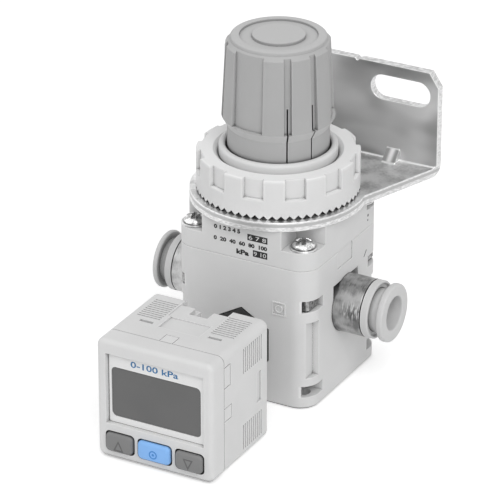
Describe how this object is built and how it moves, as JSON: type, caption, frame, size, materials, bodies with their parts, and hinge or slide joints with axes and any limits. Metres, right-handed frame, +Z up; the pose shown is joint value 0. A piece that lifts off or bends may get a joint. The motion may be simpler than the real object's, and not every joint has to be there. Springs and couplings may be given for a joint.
{
  "type": "vacuum regulator",
  "caption": "Square-bodied vacuum regulator with a ribbed adjusting knob, push-in tube fittings, a bent steel bracket and a digital pressure switch in front.",
  "frame": {"origin": "centre of the body's bottom face, on the axis of the knob", "axes": "+Z up along the adjusting screw, -Y towards the pressure switch, +X along the fitting whose vacuum is set, -X along the fitting to the pump, +Y towards the bracket's wall plate"},
  "size_m": [0.0618, 0.0877, 0.0856],
  "materials": {
    "body_resin": "moulded, fine matt",
    "nut_resin": "moulded, satin",
    "knob_resin": "moulded, matt",
    "collar_resin": "moulded, satin",
    "switch_resin": "moulded, satin",
    "button_resin": "moulded, matt",
    "blue_resin": "moulded, satin",
    "black_resin": "moulded, glass-filled",
    "window_resin": "smooth, tinted",
    "display_resin": "smooth",
    "zinc_steel": "zinc plated",
    "bright_steel": "bright",
    "nickel": "nickel plated",
    "brass": "turned",
    "aluminium": "pressed",
    "rubber": "moulded",
    "board_laminate": "lacquered"
  },
  "bodies": {
    "root": {"body": "body_resin", "bonnet": "body_resin", "bonnet_screws": "bright_steel", "screw_washers": "bright_steel", "square_nuts": "bright_steel", "bracket": "zinc_steel", "ring_nut": "nut_resin", "thrust_washer": "bright_steel", "setting_spring": "bright_steel", "diaphragm": "rubber", "stem_seal": "rubber", "valve_spring": "bright_steel", "bottom_cap": "body_resin", "cap_oring": "rubber", "switch_union": "black_resin", "union_oring": "rubber", "port_gasket": "rubber", "switch_port": "nickel", "pressure_sensor": "bright_steel", "switch_case": "switch_resin", "front_cover": "switch_resin", "display_lens": "window_resin", "display_module": "display_resin", "circuit_board": "board_laminate", "key_switches": "black_resin", "connector_socket": "black_resin", "connector_pins": "brass", "pump_sleeve": "nickel", "pump_oring": "rubber", "pump_tube_seal": "rubber", "pump_tube_chuck": "bright_steel", "pump_collar": "collar_resin", "set_sleeve": "nickel", "set_oring": "rubber", "set_tube_seal": "rubber", "set_tube_chuck": "bright_steel", "set_collar": "collar_resin"},
    "spindle": {"adjusting_screw": "brass", "spindle_oring": "rubber", "retaining_clip": "bright_steel"},
    "knob": {"knob": "knob_resin"},
    "nut": {"spring_nut": "brass"},
    "valve": {"main_valve": "brass", "valve_seal": "rubber"},
    "diaphragm_plates": {"upper_plate": "aluminium", "lower_plate": "aluminium", "diaphragm_stud": "brass", "relief_pad": "rubber"},
    "pump_release": {"pump_release_button": "collar_resin"},
    "set_release": {"set_release_button": "collar_resin"},
    "key_up": {"button_up": "button_resin"},
    "key_set": {"button_set": "blue_resin"},
    "key_down": {"button_down": "button_resin"}
  },
  "joints": [
    {"name": "adjust_turn", "type": "hinge", "parent": "root", "child": "spindle", "pos_m": [0, 0, 0.07], "axis": [0, 0, -1], "range_deg": [0, 2880]},
    {"name": "knob_pull", "type": "slide", "parent": "spindle", "child": "knob", "axis": [0, 0, 1], "range_m": [0, 0.0023]},
    {"name": "nut_travel", "type": "slide", "parent": "root", "child": "nut", "axis": [0, 0, 1], "range_m": [-0.008, 0], "deforming": ["setting_spring"]},
    {"name": "valve_stroke", "type": "slide", "parent": "root", "child": "valve", "axis": [0, 0, 1], "range_m": [-0.0008, 0], "stiffness_N_per_m": 600, "springref_m": 0.0015, "deforming": ["valve_spring", "diaphragm"]},
    {"name": "relief_lift", "type": "slide", "parent": "valve", "child": "diaphragm_plates", "axis": [0, 0, 1], "range_m": [0, 0.0004], "stiffness_N_per_m": 200, "springref_m": -0.0005},
    {"name": "pump_release_press", "type": "slide", "parent": "root", "child": "pump_release", "axis": [1, 0, 0], "range_m": [0, 0.0017], "stiffness_N_per_m": 600, "springref_m": -0.0005},
    {"name": "set_release_press", "type": "slide", "parent": "root", "child": "set_release", "axis": [-1, 0, 0], "range_m": [0, 0.0017], "stiffness_N_per_m": 600, "springref_m": -0.0005},
    {"name": "key_up_press", "type": "slide", "parent": "root", "child": "key_up", "axis": [0, 1, 0], "range_m": [0, 0.0005], "stiffness_N_per_m": 1200, "springref_m": -0.0005},
    {"name": "key_set_press", "type": "slide", "parent": "root", "child": "key_set", "axis": [0, 1, 0], "range_m": [0, 0.0005], "stiffness_N_per_m": 1200, "springref_m": -0.0005},
    {"name": "key_down_press", "type": "slide", "parent": "root", "child": "key_down", "axis": [0, 1, 0], "range_m": [0, 0.0005], "stiffness_N_per_m": 1200, "springref_m": -0.0005}
  ],
  "couplings": [
    {"joint": "nut_travel", "follows": "adjust_turn", "m_per_rad": -0.00015915}
  ]
}
